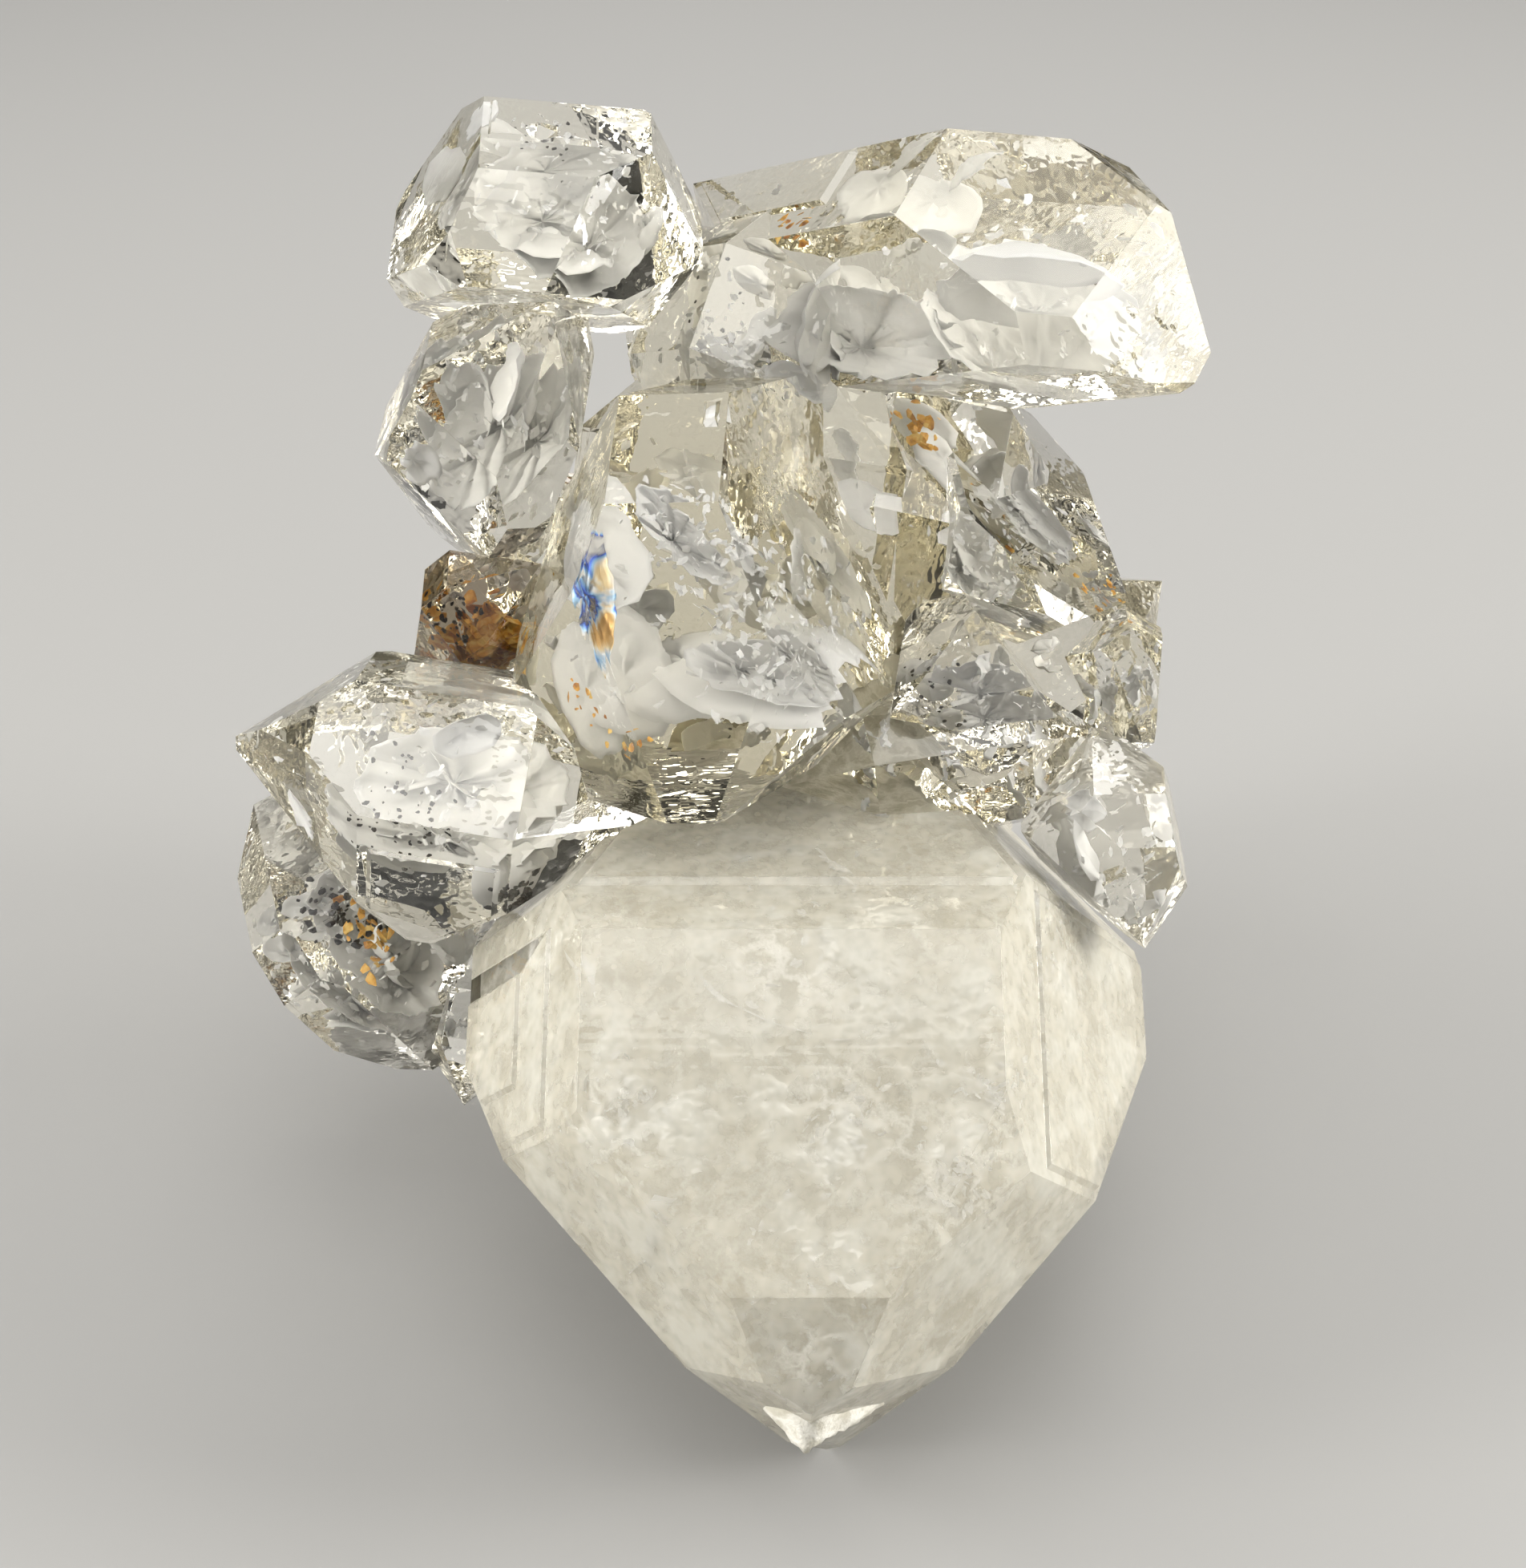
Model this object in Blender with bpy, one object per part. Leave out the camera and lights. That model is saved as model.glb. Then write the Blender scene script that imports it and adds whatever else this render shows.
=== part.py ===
"""A cluster of clear quartz crystals, each pointed at both ends, grown together as one piece.

Every crystal starts as a block and is cut by the faces that quartz grows: six sides and six
slanted faces at each end. One Boolean joins the crystals, and a second presses in the pits.
Sizes are in millimetres. The origin is on the floor, under the middle of the front crystal.
"""

from math import cos, radians, sin

import bmesh
import bpy
from mathutils import Matrix, Vector

MM = 0.001
SLIVER = 0.03                   # corners nearer than this are one corner
BLOCK = 160                     # edge of the block that a crystal is cut from
END_POLAR = 51.8                # from the long axis to the normal of an end face, in degrees
REST_LEAN = 90 - END_POLAR      # lean that lays one end face flat on the floor
FACES = [kind + str(number) for kind in "stb" for number in range(6)]

STEP_INSET = 0.3                # how far a growth step stays inside the faces around it
FRONT_SIDE = 22.5               # centre of the front crystal to its sides: about 50 across
FRONT_END = 22                  # centre to its end faces, which is also its height off the floor
BACK_END = 16                   # the same for the crystal at the back that stands on the floor

crystals = {}


def new_collection(name):
    collection = bpy.data.collections.new(name)
    bpy.context.scene.collection.children.link(collection)
    return collection


def direction(azimuth, polar):
    """A unit vector from its angle around the long axis and its angle away from that axis."""
    azimuth = radians(azimuth)
    polar = radians(polar)
    return Vector((sin(polar) * cos(azimuth), sin(polar) * sin(azimuth), cos(polar)))


def face_direction(face):
    """Sides are s0 to s5, the faces of the top end t0 to t5, those of the bottom end b0 to b5."""
    polar = {"s": 90, "t": END_POLAR, "b": 180 - END_POLAR}[face[0]]
    return direction(60 * int(face[1]), polar)


def crystal_axes(lean, turn):
    """Rotation of a crystal whose long axis has this heading and rise, and whose side s0
    is turned this far from facing up."""
    long_axis = direction(lean[0], 90 - lean[1])
    upward = (Vector((0, 0, 1)) - long_axis * long_axis.z).normalized()
    side_axis = Matrix.Rotation(radians(turn), 3, long_axis) @ upward
    third_axis = long_axis.cross(side_axis)
    return Matrix((side_axis, third_axis, long_axis)).transposed()


def cut_block(name, planes, at, axes, collection):
    """A block cut by planes, each a direction and its distance from the centre."""
    bm = bmesh.new()
    bmesh.ops.create_cube(bm, size=BLOCK * MM)
    for normal, distance in planes:
        geometry = bm.verts[:] + bm.edges[:] + bm.faces[:]
        point = normal * distance * MM
        cut = bmesh.ops.bisect_plane(bm, geom=geometry, plane_co=point, plane_no=normal,
                                     dist=1e-6, clear_outer=True)
        rim = [item for item in cut["geom_cut"] if isinstance(item, bmesh.types.BMEdge)]
        if rim:
            bmesh.ops.edgeloop_fill(bm, edges=rim)
    bmesh.ops.recalc_face_normals(bm, faces=bm.faces)
    mesh = bpy.data.meshes.new(name)
    bm.to_mesh(mesh)
    bm.free()
    piece = bpy.data.objects.new(name, mesh)
    piece.matrix_world = Matrix.Translation(Vector(at) * MM) @ axes.to_4x4()
    collection.objects.link(piece)
    return piece


def crystal(name, at, lean, turn, side, end, faces=None, bevels=(), collection=None):
    """One crystal. faces holds the faces that grew nearer or farther than the others, and
    bevels the small extra faces, each by its angle round, angle from the axis and distance."""
    distances = {face: side if face[0] == "s" else end for face in FACES}
    distances.update(faces or {})
    planes = [(face_direction(face), distances[face]) for face in FACES]
    planes += [(direction(*bevel[:2]), bevel[2]) for bevel in bevels]
    axes = crystal_axes(lean, turn)
    crystals[name] = {"at": at, "axes": axes, "distances": distances, "bevels": bevels}
    return cut_block(name, planes, at, axes, collection or joined)


def growth_step(on, face, lift, back_from):
    """A thin later layer on one face: its edges run parallel to the edges of that face.
    back_from names the neighbouring faces that the layer stays away from, with how far."""
    base = crystals[on]
    inset = STEP_INSET + 0.5 * lift
    distances = {other: base["distances"][other] - inset for other in FACES}
    distances[face] = base["distances"][face] + lift
    for other, gap in back_from.items():
        distances[other] -= gap
    planes = [(face_direction(other), distances[other]) for other in FACES]
    planes += [(direction(*bevel[:2]), bevel[2] - inset) for bevel in base["bevels"]]
    return cut_block(on + "_step_" + face, planes, base["at"], base["axes"], joined)


def make_quartz():
    """Clear quartz with a faint cream tint."""
    material = bpy.data.materials.new("quartz")
    material.use_nodes = True
    shader = material.node_tree.nodes["Principled BSDF"]
    shader.inputs["Base Color"].default_value = (0.93, 0.91, 0.84, 1)
    shader.inputs["Roughness"].default_value = 0.03
    shader.inputs["Metallic"].default_value = 0
    shader.inputs["IOR"].default_value = 1.544
    shader.inputs["Transmission Weight"].default_value = 1
    return material


for old in list(bpy.data.objects):
    bpy.data.objects.remove(old)

cluster = new_collection("herkimer_diamond")
joined = new_collection("joined_crystals")
pits = new_collection("pits")

# Front crystal: the largest, one wide side facing the viewer, resting on end face b3
front = crystal("front", (0, 1, FRONT_END), (90, REST_LEAN), 0, FRONT_SIDE, FRONT_END,
                {"s0": 18, "s1": 20, "s2": 25.5, "s4": 22, "s5": 23.2,
                 "t0": 15, "t1": 20, "t2": 23.5, "t4": 22.5, "t5": 21.5,
                 "b0": 29, "b1": 25, "b2": 21, "b4": 20, "b5": 26},
                bevels=[(34, 107, 24), (-52, 121, 26.5), (0, 180, 31.5),
                        (75, 152, 28.5), (-75, 152, 29)],
                collection=cluster)

# Upper left crystal: stands at the top left, its blunt end toward the viewer
crystal("upper_left", (-21.5, 33.5, 74), (93, 12), 6, 10.5, 11,
        {"s0": 8.5, "s1": 11.5, "s2": 11, "s3": 9.5, "s4": 11, "s5": 8,
         "t0": 9, "t4": 12.5, "b0": 11.5, "b3": 7, "b4": 11.5, "b5": 13.5})

# Upper right crystal: the longest, lying across the top, with a wide slanted end face
crystal("upper_right", (12, 35, 70.5), (-43, 19), 92, 11.5, 17.5,
        {"s1": 11, "s2": 9, "s4": 7.5, "s5": 11,
         "t1": 20.5, "t2": 19.5, "t3": 13.5, "t4": 13, "t5": 11.5, "b4": 21, "b5": 24},
        bevels=[(-47, 18, 17)])

# Left crystal: long and pointed, its tip sticking out to the left
crystal("left_point", (-27.5, 7, 38.5), (177, 9), -47, 9, 10.5,
        {"s0": 8.5, "s2": 8.5, "s4": 11, "s5": 8,
         "t0": 12.5, "t1": 11.5, "t4": 9.5, "t5": 9.5, "b4": 9, "b5": 10})

# Centre crystal: broad, in the middle of the cluster behind the front crystal
crystal("centre", (-6.5, 17.5, 50.5), (86, 24), -4, 14, 15.5,
        {"s0": 15.5, "s1": 9, "s2": 18, "s3": 15.5, "s5": 13.5,
         "t1": 16.5, "t2": 12.5, "t5": 14, "b2": 14.5, "b3": 13, "b4": 18.5, "b5": 16.5})

# Middle left crystal, under the upper left one
crystal("middle_left", (-25.5, 27, 59), (-37, 54), 99, 8.5, 9,
        {"s0": 7.5, "s1": 10, "s2": 5.5, "s4": 6, "s5": 7.5,
         "t2": 8.5, "t3": 12.5, "t4": 10, "t5": 10, "b0": 7, "b5": 8})

# Lower left crystal: stout, under the left point, and the small one on its right
crystal("lower_left", (-35.5, 12, 21.5), (138, 45), -138, 9.5, 9,
        {"s0": 5.5, "s1": 10.5, "s5": 15, "t0": 10.5, "t1": 10.5, "b0": 8, "b5": 5})
crystal("lower_left_small", (-26.5, 8, 17.5), (70, 60), 20, 4, 4.6)

# Right-hand row, from top to bottom
crystal("right_upper", (16.5, 28, 52.5), (95, 10), 36, 8, 11,
        {"s0": 2, "s4": 7, "s5": 8.5, "t1": 12.5, "b1": 13, "b2": 10, "b3": 9.5, "b5": 15})
crystal("right_middle", (13, 15.5, 43), (45, -5), 34, 6.5, 6.5,
        {"s2": 7.5, "s5": 7.5, "t0": 3.5, "b2": 5.5, "b3": 7.5})
crystal("right_small", (24.5, 21, 40.5), (122, 13), -33, 5, 5,
        {"s5": 2.5, "t0": 4, "t1": 6.5, "b1": 4, "b2": 3, "b5": 6})
crystal("right_lower", (22.5, 6, 34.5), (-82, -41), 51, 6, 6,
        {"s0": 7, "s4": 5, "t0": 5, "t1": 4, "b4": 7})

# Smoky little crystal on the left, between the left point and the middle left crystal
crystal("smoky", (-26, 18.5, 48), (174, -40), -14, 4.4, 4.3)

# Crystals that fill the gaps between the large ones
crystal("ledge_right", (10, 12, 38.5), (8, 6), 25, 5.5, 8)
crystal("gap_left", (-20, 24.5, 50), (40, 35), 10, 5.5, 6)
crystal("gap_top", (-4.5, 35, 64), (60, 50), 30, 8, 9)
crystal("gap_right", (9.5, 29.5, 52.5), (75, 40), 15, 8, 9.5)

# Crystals at the back, which the view from the front doesn't show
crystal("core", (-3, 33, 46), (70, 65), 20, 15, 17)
crystal("back_foot", (2.4, 37.5, BACK_END), (75, REST_LEAN), 0, 14, BACK_END)
crystal("back_left", (-17, 35, 29), (130, 30), 0, 10, 11.5)
crystal("back_right", (18, 29, 36), (30, 25), 40, 8.8, 9.6)
crystal("back_high", (-6, 46, 60), (100, 35), 12, 8.5, 9)

# Growth steps: thin later layers whose edges run along the crystal's own
growth_step("front", "s5", 0.3, {"s0": 4, "t5": 1})
growth_step("front", "s5", 0.6, {"s0": 7.5, "t5": 2, "b5": 2})
growth_step("front", "s1", 0.3, {"s0": 5})
growth_step("front", "t0", 0.4, {"s0": 3})
growth_step("upper_left", "s0", 0.3, {"b0": 2.5, "s1": 3})
growth_step("upper_right", "s5", 0.4, {"t5": 5, "s0": 2})
growth_step("left_point", "s5", 0.3, {"s0": 2.5})
growth_step("centre", "s0", 0.4, {"s5": 5, "b0": 4})
growth_step("core", "t1", 0.6, {"t0": 4, "s1": 3})
growth_step("back_foot", "s1", 0.6, {"s0": 5, "t1": 4})
growth_step("back_left", "s2", 0.5, {"s3": 4})

# Pits and broken spots, each pressed in by a small crystal shape
crystal("chip_right_small", (29.3, 16.2, 40.4), (60, 20), 0, 1.6, 2.2, collection=pits)
crystal("chip_right_small_low", (28, 17, 36), (20, 50), 15, 1.3, 1.9, collection=pits)
crystal("pit_upper_left", (-20, 30, 83.2), (15, 70), 0, 1.3, 1.6, collection=pits)
crystal("pit_back", (3, 51, 36), (90, 20), 10, 3.5, 4.2, collection=pits)

for name, hidden, operation in (("grown_together", joined, "UNION"), ("pitted", pits, "DIFFERENCE")):
    boolean = front.modifiers.new(name, "BOOLEAN")
    boolean.operand_type = "COLLECTION"
    boolean.collection = hidden
    boolean.operation = operation
    boolean.solver = "EXACT"
    for piece in hidden.objects:
        piece.hide_render = True
        piece.display_type = "WIRE"

weld = front.modifiers.new("slivers_closed", "WELD")
weld.merge_threshold = SLIVER * MM

front.name = "crystal_cluster"
front.data.name = "crystal_cluster"
front.data.materials.append(make_quartz())
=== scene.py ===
"""A clear quartz crystal cluster on a pale floor, seen from about 30 degrees above."""

import math
import random

import bpy
from mathutils import Matrix, Vector
from mathutils.bvhtree import BVHTree


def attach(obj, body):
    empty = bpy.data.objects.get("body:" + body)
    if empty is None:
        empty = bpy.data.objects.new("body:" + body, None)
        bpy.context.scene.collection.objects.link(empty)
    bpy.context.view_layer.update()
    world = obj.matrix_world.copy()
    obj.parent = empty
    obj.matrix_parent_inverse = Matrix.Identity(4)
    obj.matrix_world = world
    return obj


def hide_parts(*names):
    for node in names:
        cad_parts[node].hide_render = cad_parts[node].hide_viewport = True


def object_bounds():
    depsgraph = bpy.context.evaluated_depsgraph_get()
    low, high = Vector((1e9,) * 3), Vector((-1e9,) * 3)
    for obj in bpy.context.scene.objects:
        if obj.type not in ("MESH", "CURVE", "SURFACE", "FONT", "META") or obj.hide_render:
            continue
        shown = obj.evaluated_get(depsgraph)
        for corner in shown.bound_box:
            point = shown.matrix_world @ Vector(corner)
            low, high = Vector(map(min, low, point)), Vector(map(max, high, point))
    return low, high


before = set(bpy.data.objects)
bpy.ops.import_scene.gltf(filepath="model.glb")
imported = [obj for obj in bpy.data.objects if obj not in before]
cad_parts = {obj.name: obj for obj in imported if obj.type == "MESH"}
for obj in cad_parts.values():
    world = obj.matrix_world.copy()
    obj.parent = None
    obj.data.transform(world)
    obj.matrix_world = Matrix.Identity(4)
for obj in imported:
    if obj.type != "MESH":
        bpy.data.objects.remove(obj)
cad_low, cad_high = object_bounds()
MM = 0.001

# Camera. The photograph looks down on the cluster at about 30 degrees, from 0.19 m away, with
# the largest crystal in front.
CAMERA_AT = Vector((-3.8, -144.1, 126.6)) * MM
CAMERA_DOWN = 30
CAMERA_LENS = 53.4

bpy.ops.object.camera_add(location=CAMERA_AT, rotation=(math.radians(90 - CAMERA_DOWN), 0, 0))
camera = bpy.context.object
camera.name = "camera"
camera.data.lens = CAMERA_LENS
camera.data.clip_start = 0.01
bpy.context.scene.camera = camera

# Crystal body. One clear solid of quartz: all the crystals grew into one another, so light
# passes from one to the next with no surface between them. Its edges are a little worn.
EDGE_WEAR = 0.14 * MM
QUARTZ_IOR = 1.544
# Height of the relief in mm: waves on every face, more on a rough one, and growth lines.
FACE_WAVES = 0.035
ROUGH_WAVES = 0.4
GROWTH_LINES = 0.008
END_POLAR = math.radians(51.8)
# Name, middle in mm, the way its long axis leans (compass angle, rise), its turn about that
# axis, how milky and how smoky it is, and about how far it reaches from its middle in mm.
CRYSTALS = [
    ("front", (0, 1, 22), (90, 38.2), 0, 1.0, 0, 22),
    ("upper_left", (-21.5, 33.5, 74), (93, 12), 6, 0, 0, 11),
    ("upper_right", (12, 35, 70.5), (-43, 19), 92, 0, 0, 16),
    ("left_point", (-27.5, 7, 38.5), (177, 9), -47, 0, 0.02, 11),
    ("centre", (-6.5, 17.5, 50.5), (86, 24), -4, 0, 0.05, 15),
    ("middle_left", (-25.5, 27, 59), (-37, 54), 99, 0, 0.05, 9),
    ("lower_left", (-35.5, 12, 21.5), (138, 45), -138, 0, 0.05, 9.5),
    ("lower_left_small", (-26.5, 8, 17.5), (70, 60), 20, 0, 0, 4),
    ("right_upper", (16.5, 28, 52.5), (95, 10), 36, 0, 0.05, 10),
    ("right_middle", (13, 15.5, 43), (45, -5), 34, 0, 0.12, 6.5),
    ("right_small", (24.5, 21, 40.5), (122, 13), -33, 0.1, 0, 5),
    ("right_lower", (22.5, 6, 34.5), (-82, -41), 51, 0.25, 0, 6),
    ("smoky", (-26, 18.5, 48), (174, -40), -14, 0, 0.8, 4.5),
    ("ledge_right", (10, 12, 38.5), (8, 6), 25, 0, 0.08, 6),
    ("gap_left", (-20, 24.5, 50), (40, 35), 10, 0, 0.05, 6),
    ("gap_top", (-4.5, 35, 64), (60, 50), 30, 0.15, 0.02, 8),
    ("gap_right", (9.5, 29.5, 52.5), (75, 40), 15, 0, 0.08, 8),
    ("back_foot", (2.4, 37.5, 16), (75, 38.2), 0, 0.6, 0, 14),
    ("back_left", (-17, 35, 29), (130, 30), 0, 0.2, 0.03, 10),
    ("back_right", (18, 29, 36), (30, 25), 40, 0, 0.05, 9),
    ("back_high", (-6, 46, 60), (100, 35), 12, 0, 0.03, 8),
]


def face_direction(polar, side):
    """The way a crystal face looks, with the crystal upright and side 0 toward X."""
    turn = math.radians(60 * side)
    return Vector((math.sin(polar) * math.cos(turn), math.sin(polar) * math.sin(turn),
                   math.cos(polar)))


CRYSTAL_FACES = [face_direction(polar, side) for polar in (math.pi / 2, END_POLAR,
                                                           math.pi - END_POLAR)
                 for side in range(6)]


def crystal_axes(lean, turn):
    """A matrix whose columns are side 0, the way across, and the long axis of a crystal."""
    compass, rise = (math.radians(angle) for angle in lean)
    long_axis = Vector((math.cos(rise) * math.cos(compass), math.cos(rise) * math.sin(compass),
                        math.sin(rise)))
    upward = (Vector((0, 0, 1)) - long_axis * long_axis.z).normalized()
    side = Matrix.Rotation(math.radians(turn), 3, long_axis) @ upward
    return Matrix((side, long_axis.cross(side), long_axis)).transposed()


class Wire:
    """A socket of a material's node tree. Arithmetic on it adds Math nodes."""

    def __init__(self, socket):
        self.socket = socket

    @staticmethod
    def add(tree, kind, settings=None, sockets=None, output=0):
        """Adds one node: its settings first, then the values or links of its sockets."""
        made = tree.nodes.new(kind)
        for name, value in (settings or {}).items():
            if name == "stops":
                stops = made.color_ramp.elements
                while len(stops) < len(value):
                    stops.new(0.5)
                for stop, (place, colour) in zip(stops, value):
                    stop.position = place
                    stop.color = colour
            else:
                setattr(made, name, value)
        for name, value in (sockets or {}).items():
            if isinstance(value, Wire):
                tree.links.new(value.socket, made.inputs[name])
            else:
                made.inputs[name].default_value = value
        return Wire(made.outputs[output]) if made.outputs else made

    def math(self, operation, first, second):
        return Wire.add(self.socket.id_data, "ShaderNodeMath", {"operation": operation},
                        {0: first, 1: second})

    def __add__(self, other):
        return self.math("ADD", self, other)

    def __radd__(self, other):
        return self.math("ADD", other, self)

    def __mul__(self, other):
        return self.math("MULTIPLY", self, other)

    def __rmul__(self, other):
        return self.math("MULTIPLY", other, self)


def empty_material(name):
    material = bpy.data.materials.new(name)
    material.use_nodes = True
    material.node_tree.nodes.clear()
    return material


def mix_colour(tree, factor, first, second):
    return Wire.add(tree, "ShaderNodeMix", {"data_type": "RGBA"},
                    {0: factor, 6: first, 7: second}, output=2)


def quartz_material():
    """Clear quartz: plain transmission, IOR and absorption. Frost veils the milky crystals."""
    material = empty_material("quartz")
    tree = material.node_tree
    place = Wire.add(tree, "ShaderNodeTexCoord", output="Object")
    growth = Wire.add(tree, "ShaderNodeAttribute", {"attribute_name": "growth"}, output=1)
    body = Wire.add(tree, "ShaderNodeAttribute", {"attribute_name": "growth_kind"}, output=1)
    milk = Wire.add(tree, "ShaderNodeSeparateXYZ", {}, {"Vector": body})
    smoke = Wire(milk.socket.node.outputs["Y"])
    rough = Wire(milk.socket.node.outputs["Z"])

    broad = Wire.add(tree, "ShaderNodeTexNoise", {}, {"Vector": place, "Scale": 190, "Detail": 3,
                                                     "Roughness": 0.62})
    lines_at = Wire.add(tree, "ShaderNodeMapping", {}, {"Vector": growth,
                                                       "Scale": (50, 50, 1500)})
    lines = Wire.add(tree, "ShaderNodeTexNoise", {}, {"Vector": lines_at, "Scale": 1, "Detail": 0})
    fine = Wire.add(tree, "ShaderNodeTexNoise", {}, {"Vector": place, "Scale": 850, "Detail": 1,
                                                    "Roughness": 0.65})
    sugar = Wire.add(tree, "ShaderNodeMapRange", {}, {"Value": broad, "From Min": 0.55,
                                                     "From Max": 0.64, "To Min": 0.0,
                                                     "To Max": 0.05})
    relief = broad * (FACE_WAVES + rough * ROUGH_WAVES) + lines * GROWTH_LINES + fine * sugar
    normal = Wire.add(tree, "ShaderNodeBump", {}, {"Height": relief, "Strength": 1.0,
                                                  "Distance": 1 * MM})
    tint = mix_colour(tree, smoke, (0.99, 0.985, 0.965, 1), (0.20, 0.13, 0.045, 1))
    clear = Wire.add(tree, "ShaderNodeBsdfPrincipled", {}, {
        "Base Color": tint, "Roughness": 0.0, "IOR": QUARTZ_IOR,
        "Transmission Weight": 1.0, "Normal": normal})
    cream = Wire.add(tree, "ShaderNodeValToRGB", {"stops": [
        (0.34, (0.52, 0.485, 0.39, 1)), (0.50, (0.55, 0.52, 0.43, 1)),
        (0.62, (0.58, 0.56, 0.48, 1))]}, {"Fac": broad})
    frost = Wire.add(tree, "ShaderNodeBsdfPrincipled", {}, {
        "Base Color": cream, "Roughness": 0.45, "IOR": QUARTZ_IOR,
        "Specular IOR Level": 0.15, "Normal": normal})
    cover = Wire.add(tree, "ShaderNodeMapRange", {}, {
        "Value": broad + fine, "From Min": 0.8, "From Max": 1.2,
        "To Min": 0.34, "To Max": 0.46})
    surface = Wire.add(tree, "ShaderNodeMixShader", {}, {0: cover * milk, 1: clear, 2: frost})
    depth = Wire.add(tree, "ShaderNodeVolumeAbsorption", {}, {"Color": (0.90, 0.82, 0.52, 1),
                                                             "Density": 15})
    Wire.add(tree, "ShaderNodeOutputMaterial", {}, {"Surface": surface, "Volume": depth})
    return material


def select_only(piece):
    bpy.ops.object.select_all(action="DESELECT")
    piece.select_set(True)
    bpy.context.view_layer.objects.active = piece


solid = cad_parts["crystal_cluster"]
crystals = bpy.data.objects.new("crystals", solid.data.copy())
bpy.context.scene.collection.objects.link(crystals)
crystals.data.materials.clear()
select_only(crystals)
bpy.ops.object.mode_set(mode="EDIT")
bpy.ops.mesh.select_all(action="SELECT")
bpy.ops.mesh.remove_doubles(threshold=0.02 * MM)
bpy.ops.mesh.dissolve_limited(angle_limit=math.radians(0.5))
bpy.ops.mesh.normals_make_consistent(inside=False)
bpy.ops.object.mode_set(mode="OBJECT")
wear = crystals.modifiers.new("worn_edges", "BEVEL")
wear.width = EDGE_WEAR
wear.segments = 1
wear.limit_method = "ANGLE"
wear.angle_limit = math.radians(12)
bpy.ops.object.modifier_apply(modifier=wear.name)
crystals.data.materials.append(quartz_material())

# Each face takes the milk and smoke of the crystal it belongs to, and the place of its corners
# along that crystal's axes, which its growth lines follow. Faces that grew against the rock, at
# the back and below, are rough.
ROUGH_SIDE = Vector((0, 0.76, -0.65))
GROWN = [crystal_axes(crystal[2], crystal[3]) for crystal in CRYSTALS]
growth = crystals.data.attributes.new("growth", "FLOAT_VECTOR", "CORNER")
growth_kind = crystals.data.attributes.new("growth_kind", "FLOAT_VECTOR", "FACE")
for face in crystals.data.polygons:
    best = None
    for crystal, axes in zip(CRYSTALS, GROWN):
        local = axes.transposed() @ face.normal
        miss = min((local - direction).length for direction in CRYSTAL_FACES)
        gone = (face.center - Vector(crystal[1]) * MM).length
        score = min(miss, 0.3) * 100 * MM + gone
        if best is None or score < best[0]:
            best = (score, crystal, axes)
    _, crystal, axes = best
    rough = min(max((face.normal.dot(ROUGH_SIDE) - 0.15) / 0.5, 0), 1)
    growth_kind.data[face.index].vector = (crystal[4], crystal[5], rough)
    for corner in face.loop_indices:
        spot = crystals.data.vertices[crystals.data.loops[corner].vertex_index].co
        growth.data[corner].vector = axes.transposed() @ (spot - Vector(crystal[1]) * MM)
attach(crystals, "root")
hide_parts("crystal_cluster")

crystal_faces = BVHTree.FromPolygons([corner.co for corner in crystals.data.vertices],
                                     [face.vertices for face in crystals.data.polygons])

# Large fractures. Curved, shell-shaped cracks inside the crystals, each an air gap about as
# thin as paper, which mirrors light like silver at a slant. They are hollows in the same solid.
CRACK_GAP = 0.05 * MM
CRACK_MARGIN = 0.3 * MM
# Each crack takes its waves from another place of the same pattern, this far along.
WAVE_STEP = 7 * MM
# How milky, smoky and rough a crack is. Some of the small ones hold a brown film.
CRACK_KIND = (0.1, 0, 0.3)
BROWN_CRACK_KIND = (0.1, 0.55, 0.3)
CRACKS_PER_MM = 0.75
# Middle in mm, the way it faces, the way its long side runs, length and width in mm, depth of
# its bowl in mm, and a number that seeds its waviness.
CRACKS = [
    ((4.5, 30, 67), (-0.3, -0.75, 0.6), (0.9, -0.4, 0.2), 17, 8, 2.6, 1),
    ((-9.5, 9, 58.5), (0.35, -0.75, 0.55), (0.55, 0.1, -0.8), 9, 3, 1.4, 2),
    ((-3.4, 5.5, 49.5), (0.1, -0.75, 0.65), (0.9, 0.2, -0.4), 12, 4, 2.0, 3),
    ((2, 12, 55), (0.8, -0.5, 0.3), (0.3, 0.2, 0.9), 12, 5, 1.5, 4),
    ((-4, -8, 31), (0.1, -0.3, 0.95), (0.98, -0.1, -0.1), 24, 12, 3.0, 5),
    ((8, -14, 22), (0.5, -0.6, 0.6), (0.6, 0.1, -0.6), 16, 9, 2.0, 6),
    ((-11, -12, 20), (-0.5, -0.6, 0.6), (0.6, 0.1, 0.6), 15, 8, 2.0, 7),
    ((-20, 31, 74), (0.4, -0.7, 0.5), (0.8, 0.3, 0.1), 12, 9, 2.0, 8),
    ((17, 27, 67), (0.2, -0.6, 0.8), (0.7, -0.6, 0.2), 15, 9, 1.6, 9),
    ((15, 26, 50), (0.4, -0.5, 0.7), (0.9, 0.1, -0.3), 10, 6, 1.4, 10),
    ((13, 14, 42.5), (0.2, -0.8, 0.5), (0.9, 0.2, -0.2), 9, 5, 1.0, 11),
    ((-27, 7, 39), (0.1, -0.7, 0.7), (1, 0.1, 0), 14, 8, 1.6, 12),
    ((-35, 11, 22), (0.3, -0.7, 0.6), (0.6, -0.3, -0.6), 11, 7, 1.8, 13),
    ((-24, 27, 60), (-0.2, -0.8, 0.5), (0.5, 0.1, 0.8), 12, 7, 1.6, 14),
    ((3, 42, 30), (0.2, 0.8, 0.5), (0.8, 0, 0.4), 18, 12, 2.4, 15),
    ((-15, 38, 35), (-0.5, 0.7, 0.4), (0.5, 0.3, 0.7), 14, 9, 2.0, 16),
]


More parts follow.
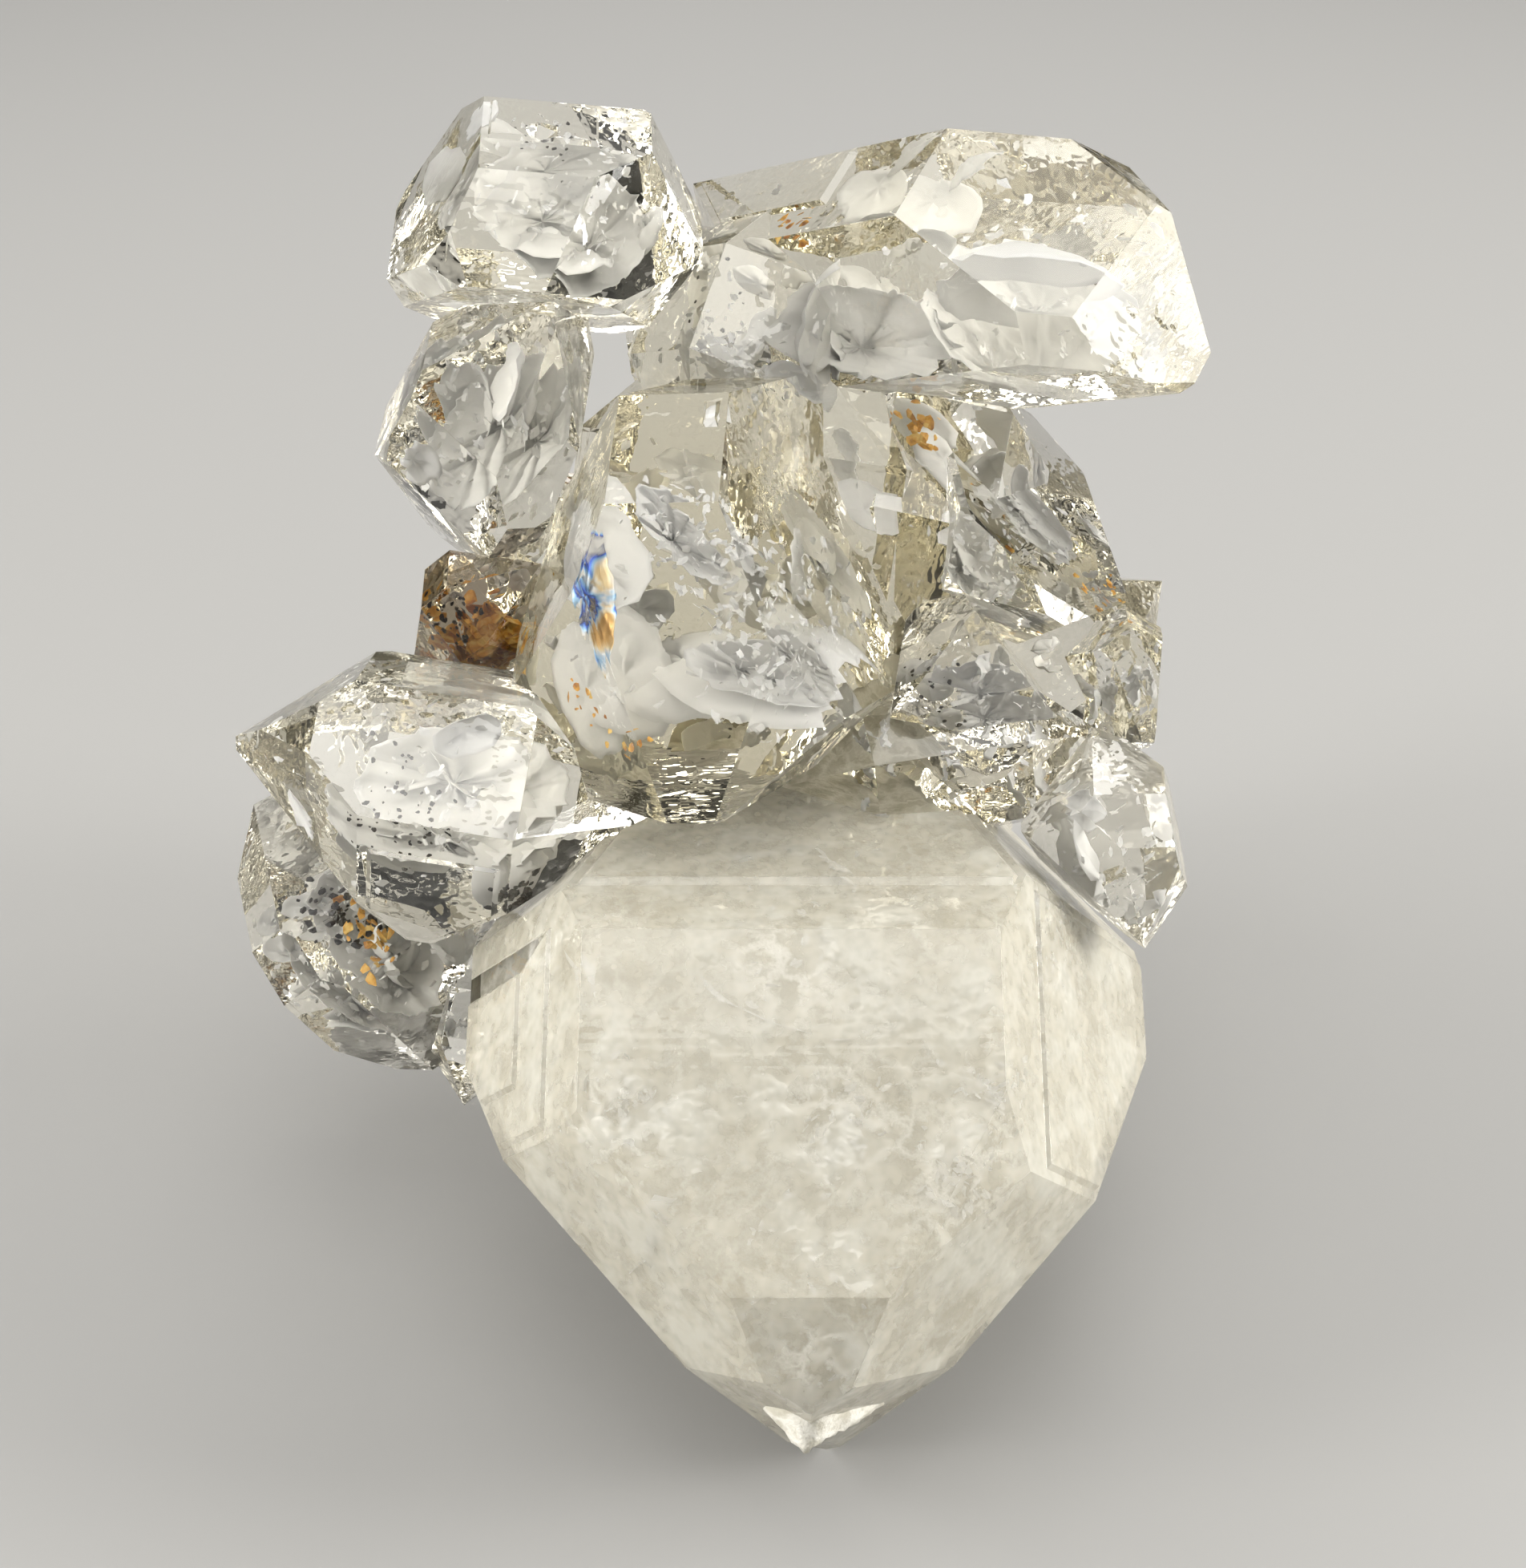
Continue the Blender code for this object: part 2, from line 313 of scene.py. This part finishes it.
def apply_modifiers(piece):
    select_only(piece)
    for modifier in list(piece.modifiers):
        bpy.ops.object.modifier_apply(modifier=modifier.name)


def facing_matrix(at, facing, along):
    """Puts a piece made flat on XY at a place in mm, its Z facing one way, its X along another."""
    normal = Vector(facing).normalized()
    run = Vector(along).normalized()
    run = (run - normal * run.dot(normal)).normalized()
    turned = Matrix((run, normal.cross(run), normal)).transposed().to_4x4()
    return Matrix.Translation(Vector(at) * MM) @ turned


def room_at(point):
    """The distance from a point inside the solid to its surface, or less than 0 outside."""
    nearest, normal, _, _ = crystal_faces.find_nearest(point)
    gone = point - nearest
    return -gone.length if gone.dot(normal) > 0 else gone.length


def mark(piece, milk, smoke, rough):
    """Says how milky, smoky and rough every face of a piece is."""
    kinds = piece.data.attributes.new("growth_kind", "FLOAT_VECTOR", "FACE")
    for face in piece.data.polygons:
        kinds.data[face.index].vector = (milk, smoke, rough)


def shell_crack(at, facing, along, length, width, bowl, seed, rings=16, spokes=44,
                kind=CRACK_KIND):
    """A ribbed, shallow bowl as thin as paper, its normals turned into the gap.

    It is drawn in from its rim ring by ring, waved, and trimmed where it would leave the solid.
    """
    chance = random.Random(seed)
    bpy.ops.object.select_all(action="DESELECT")
    bpy.ops.mesh.primitive_circle_add(vertices=spokes, radius=1, fill_type="NOTHING")
    crack = bpy.context.object
    crack.name = "shell_crack"
    bpy.ops.object.mode_set(mode="EDIT")
    bpy.ops.mesh.select_all(action="SELECT")
    bpy.ops.transform.vertex_random(offset=0.11, uniform=0.4, seed=seed)
    bpy.ops.transform.resize(value=(1, 1, 0.004), center_override=(0, 0, 0))
    for ring in range(rings):
        inner = 1 - (ring + 1) / (rings + 0.5)
        outer = 1 - ring / (rings + 0.5)
        drop = (inner ** 2 - outer ** 2) * bowl + chance.uniform(-0.11, 0.11)
        bpy.ops.mesh.extrude_region_move(TRANSFORM_OT_translate={
            "value": (chance.uniform(-0.01, 0.03), 0, 0)})
        bpy.ops.transform.resize(value=(inner / outer, inner / outer, 1), center_override=(0, 0, 0))
        bpy.ops.transform.translate(value=(0, 0, drop * MM))
    bpy.ops.mesh.merge(type="CENTER")
    bpy.ops.object.mode_set(mode="OBJECT")
    crack.data.transform(Matrix.Diagonal((length * MM / 2, width * MM / 2, 1, 1)))
    hackle = bpy.data.textures.new("hackle", "CLOUDS")
    hackle.noise_scale = (2.2 + 0.4 * (seed % 4)) * MM
    waves = crack.modifiers.new("waves", "DISPLACE")
    waves.texture = hackle
    waves.strength = 1.1 * MM
    waves.mid_level = 0.5
    crack.data.transform(Matrix.Translation((seed * WAVE_STEP, 0, 0)))
    apply_modifiers(crack)
    crack.data.transform(Matrix.Translation((-seed * WAVE_STEP, 0, 0)))
    crack.data.transform(facing_matrix(at, facing, along))
    for corner in crack.data.vertices:
        corner.select = room_at(corner.co) < CRACK_MARGIN
    bpy.ops.object.mode_set(mode="EDIT")
    bpy.ops.mesh.delete(type="VERT")
    bpy.ops.object.mode_set(mode="OBJECT")
    gap = crack.modifiers.new("gap", "SOLIDIFY")
    gap.thickness = CRACK_GAP
    gap.offset = 0
    apply_modifiers(crack)
    bpy.ops.object.shade_smooth()
    bpy.ops.object.mode_set(mode="EDIT")
    bpy.ops.mesh.select_all(action="SELECT")
    bpy.ops.mesh.normals_make_consistent(inside=True)
    bpy.ops.object.mode_set(mode="OBJECT")
    mark(crack, *kind)
    return crack


def join_into(body, pieces):
    bpy.ops.object.select_all(action="DESELECT")
    for piece in pieces:
        piece.select_set(True)
    body.select_set(True)
    bpy.context.view_layer.objects.active = body
    bpy.ops.object.join()


chance = random.Random(5)
cracks = [shell_crack(*crack) for crack in CRACKS]
for crystal in CRYSTALS:
    reach = crystal[6]
    for _ in range(round(reach * CRACKS_PER_MM)):
        spot = Vector(crystal[1]) + Vector([chance.gauss(0, 0.45) for _ in range(3)]) * reach
        facing, along = ([chance.gauss(0, 1) for _ in range(3)] for _ in range(2))
        length = reach * chance.uniform(0.3, 0.85)
        cracks.append(shell_crack(spot, facing, along, length, length * chance.uniform(0.4, 0.8),
                                  length * chance.uniform(0.08, 0.25), 20 + len(cracks),
                                  rings=6, spokes=18, kind=chance.choice(
                                      [CRACK_KIND, CRACK_KIND, BROWN_CRACK_KIND])))
join_into(crystals, cracks)

# Crackle. Some two thousand tiny jagged cracks, in drifts and scattered, which glitter like
# sugar. Five flakes are modelled, then copied into the solid wherever they have room.
FLAKE_GAP = 0.03 * MM
FLAKE_MILK = 0.1
FLAKE_ROUGH = 0.2
# Middle of a drift in mm, its radius in mm, the number of flakes, and their size in mm.
DRIFTS = [
    ((1.5, -19.1, 28.2), 4, 120, 0.42),
    ((9.5, -22.2, 25.7), 3.5, 110, 0.45),
    ((12.5, -17, 28.3), 3, 60, 0.42),
    ((-13, -18.6, 28.6), 3.5, 90, 0.45),
    ((0, -26.6, 22.2), 6, 70, 0.4),
    ((18, -1.5, 31.2), 4, 80, 0.45),
    ((-4, -9, 35.8), 7, 80, 0.45),
    ((-6, 28, 65), 5, 130, 0.4),
    ((-20, 30, 78), 7, 80, 0.42),
    ((-9, 6.5, 60), 4, 70, 0.42),
    ((-6, 7, 56), 6, 110, 0.45),
    ((-3, 5, 51), 5, 110, 0.45),
    ((3, 11, 53), 6, 110, 0.45),
    ((16, 23, 53), 5, 100, 0.42),
    ((13, 12, 43), 5, 60, 0.4),
    ((24, 20, 41), 4, 50, 0.4),
    ((22, 4, 34), 4, 50, 0.45),
    ((-28, 6, 40), 7, 80, 0.45),
    ((-35, 10, 23), 6, 80, 0.45),
    ((-25, 26, 60), 6, 80, 0.5),
    ((16, 30, 68), 8, 90, 0.5),
    ((2, 40, 30), 12, 120, 0.6),
]
SCATTERED = 300
TRIES = 6


def crack_flake(seed):
    """A jagged dish, 2 mm across and as thin as paper, its normals turned into the gap."""
    bpy.ops.object.select_all(action="DESELECT")
    bpy.ops.mesh.primitive_circle_add(vertices=9, radius=1 * MM, fill_type="TRIFAN")
    flake = bpy.context.object
    flake.name = "crack_flake"
    bpy.ops.object.mode_set(mode="EDIT")
    bpy.ops.mesh.select_all(action="SELECT")
    bpy.ops.transform.vertex_random(offset=0.45 * MM, uniform=0.5, seed=seed)
    bpy.ops.transform.resize(value=(1, 0.6, 0.5))
    bpy.ops.object.mode_set(mode="OBJECT")
    gap = flake.modifiers.new("gap", "SOLIDIFY")
    gap.thickness = FLAKE_GAP
    gap.offset = 0
    apply_modifiers(flake)
    bpy.ops.object.mode_set(mode="EDIT")
    bpy.ops.mesh.select_all(action="SELECT")
    bpy.ops.mesh.normals_make_consistent(inside=True)
    bpy.ops.object.mode_set(mode="OBJECT")
    mark(flake, FLAKE_MILK * seed, 0, FLAKE_ROUGH)
    return flake


def scatter(shapes, name, middle, radius, number, size, chance):
    """Copies of the shapes, each with its own mesh, around a point where the solid has room."""
    made = []
    drift = Vector([chance.gauss(0, 1) for _ in range(3)])
    for _ in range(number * TRIES):
        if len(made) == number:
            break
        point = Vector(middle) * MM + Vector([chance.gauss(0, 0.5) for _ in range(3)]) * radius * MM
        scale = size * chance.uniform(0.4, 1.3)
        if room_at(point) < scale * MM * 1.1:
            continue
        facing = drift.normalized() * 0.8 + Vector([chance.gauss(0, 0.6) for _ in range(3)])
        along = Vector([chance.gauss(0, 1) for _ in range(3)])
        copy = bpy.data.objects.new(name, chance.choice(shapes).data.copy())
        copy.data.transform(Matrix.Diagonal((scale, scale, scale, 1)))
        copy.data.transform(facing_matrix(point / MM, facing, along))
        bpy.context.scene.collection.objects.link(copy)
        made.append(copy)
    return made


flakes = [crack_flake(seed) for seed in range(1, 6)]
chance = random.Random(11)
crackle = []
for middle, radius, number, size in DRIFTS:
    crackle += scatter(flakes, "crackle", middle, radius, number, size, chance)
low, high = cad_low / MM, cad_high / MM
for _ in range(SCATTERED):
    anywhere = [chance.uniform(low[axis], high[axis]) for axis in range(3)]
    crackle += scatter(flakes, "crackle", anywhere, 3, 1, 0.9, chance)
join_into(crystals, crackle)
for flake in flakes:
    bpy.data.objects.remove(flake)

# Milk of the front crystal. Countless tiny veils cloud it from a little under its faces, so it
# looks like frosted cream. A rounded, wavy shell inside it carries that cloud, and white
# crackle gathers on it at a few places.
MILK_INSET = 1.7
# From the crystal's middle to its faces in mm: its sides, then its upper and its lower end.
FACE_DISTANCES = {math.pi / 2: (18, 20, 25.5, 22.5, 22, 23.2),
                  END_POLAR: (15, 20, 23.5, 22, 22.5, 21.5),
                  math.pi - END_POLAR: (29, 25, 21, 16, 20, 26)}
# Middle of each place in mm, and its radius in mm.
MILK_CRACKLE = [((1.5, -18.5, 27.5), 6), ((9.5, -21.5, 25), 6), ((-13, -18, 27.5), 5),
                ((17, -1, 31), 7), ((-2, -10, 34), 5), ((0, -28, 16), 4), ((-19, -4, 30), 4)]


def milk_material():
    """Cream cloud with mottles and fine white crackle."""
    material = empty_material("milk")
    tree = material.node_tree
    place = Wire.add(tree, "ShaderNodeTexCoord", output="Object")
    wisps = Wire.add(tree, "ShaderNodeTexNoise", {}, {"Vector": place, "Scale": 260, "Detail": 5,
                                                     "Roughness": 0.65})
    tone = Wire.add(tree, "ShaderNodeValToRGB", {"stops": [
        (0.34, (0.36, 0.335, 0.26, 1)), (0.48, (0.44, 0.415, 0.34, 1)),
        (0.64, (0.52, 0.50, 0.43, 1))]}, {"Fac": wisps})
    bent = mix_colour(tree, 0.006, place, Wire(wisps.socket.node.outputs["Color"]))
    cells = Wire.add(tree, "ShaderNodeTexVoronoi", {"feature": "DISTANCE_TO_EDGE"},
                     {"Vector": bent, "Scale": 330})
    crackle = Wire.add(tree, "ShaderNodeMapRange", {}, {"Value": cells, "From Min": 0.0,
                                                       "From Max": 0.2, "To Min": 1.0,
                                                       "To Max": 0.0})
    gathered = 0.35
    for middle, radius in MILK_CRACKLE:
        gone = Wire.add(tree, "ShaderNodeVectorMath", {"operation": "DISTANCE"},
                        {0: place, 1: Vector(middle) * MM}, output=1)
        gathered = gathered + Wire.add(tree, "ShaderNodeMapRange", {}, {
            "Value": gone, "From Min": radius * 0.2 * MM, "From Max": radius * MM,
            "To Min": 0.9, "To Max": 0.0})
    tone = mix_colour(tree, crackle * gathered, tone, (0.98, 0.97, 0.93, 1))
    normal = Wire.add(tree, "ShaderNodeBump", {}, {"Height": wisps, "Strength": 0.5,
                                                  "Distance": 1 * MM})
    body = Wire.add(tree, "ShaderNodeBsdfPrincipled", {}, {
        "Base Color": tone, "Roughness": 0.6, "Normal": normal})
    Wire.add(tree, "ShaderNodeOutputMaterial", {}, {"Surface": body})
    return material


bpy.ops.object.select_all(action="DESELECT")
bpy.ops.mesh.primitive_cube_add(size=0.16)
milk = bpy.context.object
milk.name = "milk"
bpy.ops.object.mode_set(mode="EDIT")
for polar, distances in FACE_DISTANCES.items():
    for side in range(6):
        normal = face_direction(polar, side)
        bpy.ops.mesh.select_all(action="SELECT")
        bpy.ops.mesh.bisect(plane_co=normal * (distances[side] - MILK_INSET) * MM,
                            plane_no=normal, use_fill=True, clear_outer=True)
bpy.ops.object.mode_set(mode="OBJECT")
milk.data.transform(Matrix.Translation(Vector(CRYSTALS[0][1]) * MM) @ GROWN[0].to_4x4())
rounded = milk.modifiers.new("rounded", "REMESH")
rounded.mode = "VOXEL"
rounded.voxel_size = 0.9 * MM
clouds = bpy.data.textures.new("milk_clouds", "CLOUDS")
clouds.noise_scale = 5 * MM
waves = milk.modifiers.new("waves", "DISPLACE")
waves.texture = clouds
waves.strength = 1.0 * MM
waves.mid_level = 0.6
apply_modifiers(milk)
bpy.ops.object.shade_smooth()
milk.data.materials.append(milk_material())
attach(milk, "root")

# Carbon specks. Black grains that settled on the crystals as they grew, then were grown over. One
# dense drift of them is a painted dark reflection: a black patch standing in for a facet that
# mirrors dark surroundings.
SPECKS = [
    ((-36.5, 7.5, 27.5), 3.2, 60, 0.34),
    ((-29.5, 1.5, 39.5), 3.5, 34, 0.22),
    ((-31, 3, 43), 3, 14, 0.2),
    # Painted dark reflection, not carbon: a dense black patch where a facet shows only dark
    # surroundings.
    ((-22.5, 2, 33), 1.6, 40, 0.4),
    ((-20.5, 31.5, 79.5), 2.5, 20, 0.2),
    ((-27, 16, 49), 3, 45, 0.24),
    ((10, 14, 43), 2, 14, 0.2),
    ((-9, 30, 70), 3, 10, 0.2),
    ((2, 40, 28), 9, 30, 0.3),
]


def grain(name, seed, flat):
    """A small rough lump, or a flake where it is made flat."""
    bpy.ops.object.select_all(action="DESELECT")
    bpy.ops.mesh.primitive_ico_sphere_add(subdivisions=1, radius=1 * MM)
    lump = bpy.context.object
    lump.name = name
    bpy.ops.object.mode_set(mode="EDIT")
    bpy.ops.mesh.select_all(action="SELECT")
    bpy.ops.transform.vertex_random(offset=0.45 * MM, uniform=0.2, seed=seed)
    bpy.ops.transform.resize(value=(1, 0.8, flat))
    bpy.ops.object.mode_set(mode="OBJECT")
    return lump


def grown_over(name, shapes, drifts, material):
    """One piece of many grains that the crystals hold, gathered in drifts."""
    held = []
    for middle, radius, number, size in drifts:
        held += scatter(shapes, name, middle, radius, number, size, chance)
    piece = held.pop()
    join_into(piece, held)
    piece.name = name
    piece.data.materials.clear()
    piece.data.materials.append(material)
    for shape in shapes:
        bpy.data.objects.remove(shape)
    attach(piece, "root")
    return piece


def grain_material(name, stops, roughness):
    material = empty_material(name)
    tree = material.node_tree
    place = Wire.add(tree, "ShaderNodeTexCoord", output="Object")
    mottle = Wire.add(tree, "ShaderNodeTexNoise", {}, {"Vector": place, "Scale": 900, "Detail": 3})
    tone = Wire.add(tree, "ShaderNodeValToRGB", {"stops": stops}, {"Fac": mottle})
    body = Wire.add(tree, "ShaderNodeBsdfPrincipled", {}, {"Base Color": tone,
                                                          "Roughness": roughness})
    Wire.add(tree, "ShaderNodeOutputMaterial", {}, {"Surface": body})
    return material


grown_over("specks_and_painted_dark", [grain("speck", seed, 0.7) for seed in range(3)], SPECKS,
           grain_material("carbon_and_painted_dark", [(0.4, (0.006, 0.005, 0.004, 1)),
                                     (0.6, (0.03, 0.022, 0.015, 1))], 0.45))

# Iron stain. Rust-yellow films left in the seams between crystals, in thin flakes.
STAINS = [
    ((-24.3, 16.3, 45.6), 2.6, 90, 1.2),
    ((-26, 17, 47), 3, 16, 0.7),
    ((-34.2, 6, 26.6), 2.4, 34, 0.6),
    ((-1.3, 35, 73.4), 1.6, 12, 0.5),
    ((-12.6, 1, 46.2), 0.9, 7, 0.4),
    ((8.4, 27.5, 59.2), 2, 22, 0.6),
    ((22, 21, 46), 3, 16, 0.4),
    ((-15, 6, 47), 3, 14, 0.4),
    ((2, 40, 24), 7, 30, 0.7),
]
grown_over("iron_stain", [grain("stain", seed, 0.12) for seed in range(3, 7)], STAINS,
           grain_material("rust_yellow", [(0.35, (0.42, 0.16, 0.03, 1)),
                                          (0.5, (0.80, 0.42, 0.07, 1)),
                                          (0.65, (0.95, 0.68, 0.22, 1))], 0.5))

# Rainbow film. One crack in the middle crystal is thin enough to show the colours of a soap
# bubble, blue in the middle and orange at its rim.
FILM_AT = (-16.1, 5.4, 55.8)
FILM_FACING = (-0.12, -0.88, 0.46)
FILM_ALONG = (-0.1, 0.44, 0.88)


def film_material():
    material = empty_material("rainbow_film")
    tree = material.node_tree
    place = Wire.add(tree, "ShaderNodeTexCoord", output="Object")
    swirl = Wire.add(tree, "ShaderNodeTexNoise", {}, {"Vector": place, "Scale": 260, "Detail": 2,
                                                     "Distortion": 1.2})
    hue = Wire.add(tree, "ShaderNodeValToRGB", {"stops": [
        (0.36, (0.03, 0.05, 0.20, 1)), (0.42, (0.05, 0.16, 0.80, 1)),
        (0.48, (0.40, 0.70, 1.0, 1)), (0.54, (0.97, 0.99, 1.0, 1)),
        (0.62, (1.0, 0.80, 0.45, 1)), (0.70, (0.85, 0.50, 0.16, 1))]}, {"Fac": swirl})
    cover = Wire.add(tree, "ShaderNodeMapRange", {}, {"Value": swirl, "From Min": 0.34,
                                                     "From Max": 0.44, "To Min": 0.0,
                                                     "To Max": 0.9})
    body = Wire.add(tree, "ShaderNodeBsdfPrincipled", {}, {
        "Base Color": hue, "Roughness": 0.35, "Metallic": 0.3, "Alpha": cover})
    Wire.add(tree, "ShaderNodeOutputMaterial", {}, {"Surface": body})
    return material


film = shell_crack(FILM_AT, FILM_FACING, FILM_ALONG, 12, 3.8, 0.5, 90)
film.name = "rainbow_film"
film.data.materials.append(film_material())
select_only(film)
bpy.ops.object.mode_set(mode="EDIT")
bpy.ops.mesh.select_all(action="SELECT")
bpy.ops.mesh.normals_make_consistent(inside=False)
bpy.ops.object.mode_set(mode="OBJECT")
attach(film, "root")

# Floor and light. A plain pale floor, a large soft light overhead, strips and low lights around
# it, and a room that is dark near the floor, so that some faces mirror light and others dark.
bpy.ops.mesh.primitive_circle_add(vertices=96, radius=1.2, fill_type="NGON")
floor = bpy.context.object
floor.name = "floor"
pale = empty_material("pale_floor")
Wire.add(pale.node_tree, "ShaderNodeOutputMaterial", {}, {
    "Surface": Wire.add(pale.node_tree, "ShaderNodeBsdfPrincipled", {}, {
        "Base Color": (0.245, 0.242, 0.235, 1), "Roughness": 0.7})})
floor.data.materials.append(pale)


def soft_light(name, at, aim, width, length, watts):
    """A soft rectangular light at one place in mm that shines at another."""
    bpy.ops.object.light_add(type="AREA", location=Vector(at) * MM)
    lamp = bpy.context.object
    lamp.name = name
    lamp.rotation_euler = (Vector(at) - Vector(aim)).to_track_quat("Z", "Y").to_euler()
    lamp.data.shape = "RECTANGLE"
    lamp.data.size = width * MM
    lamp.data.size_y = length * MM
    lamp.data.energy = watts
    lamp.data.color = (1, 0.985, 0.95)


soft_light("overhead", (0, -35, 800), (0, -35, 0), 520, 600, 2.8)
soft_light("front_strip", (-20, -565, 800), (-20, -565, 0), 420, 150, 1.1)
soft_light("left_strip", (-650, 0, 420), (0, 0, 40), 500, 240, 3.7)
soft_light("right_strip", (650, 100, 420), (0, 0, 40), 500, 240, 3.7)
soft_light("low_left", (-600, -200, 130), (0, 0, 40), 200, 300, 5.2)
soft_light("low_right", (600, -50, 130), (0, 0, 40), 200, 300, 5.8)
soft_light("back_strip", (0, 700, 420), (0, 0, 40), 500, 200, 1.6)
room = bpy.data.worlds.new("dim_room")
bpy.context.scene.world = room
room.use_nodes = True
room.node_tree.nodes.clear()
sight = Wire.add(room.node_tree, "ShaderNodeTexCoord", output="Generated")
height = Wire.add(room.node_tree, "ShaderNodeSeparateXYZ", {}, {"Vector": sight}, output=2)
dome = Wire.add(room.node_tree, "ShaderNodeValToRGB", {"stops": [
    (0.0, (0.02, 0.02, 0.02, 1)), (0.3, (0.04, 0.04, 0.04, 1)),
    (0.6, (0.67, 0.66, 0.65, 1)), (1.0, (0.96, 0.96, 0.96, 1))]}, {"Fac": height})
glow = Wire.add(room.node_tree, "ShaderNodeBackground", {}, {"Color": dome, "Strength": 1.0})
Wire.add(room.node_tree, "ShaderNodeOutputWorld", {}, {"Surface": glow})

cycles = bpy.context.scene.cycles
cycles.max_bounces = 9
cycles.transmission_bounces = 9
cycles.glossy_bounces = 9
cycles.transparent_max_bounces = 8
cycles.diffuse_bounces = 2
bpy.context.scene.view_settings.view_transform = "Standard"
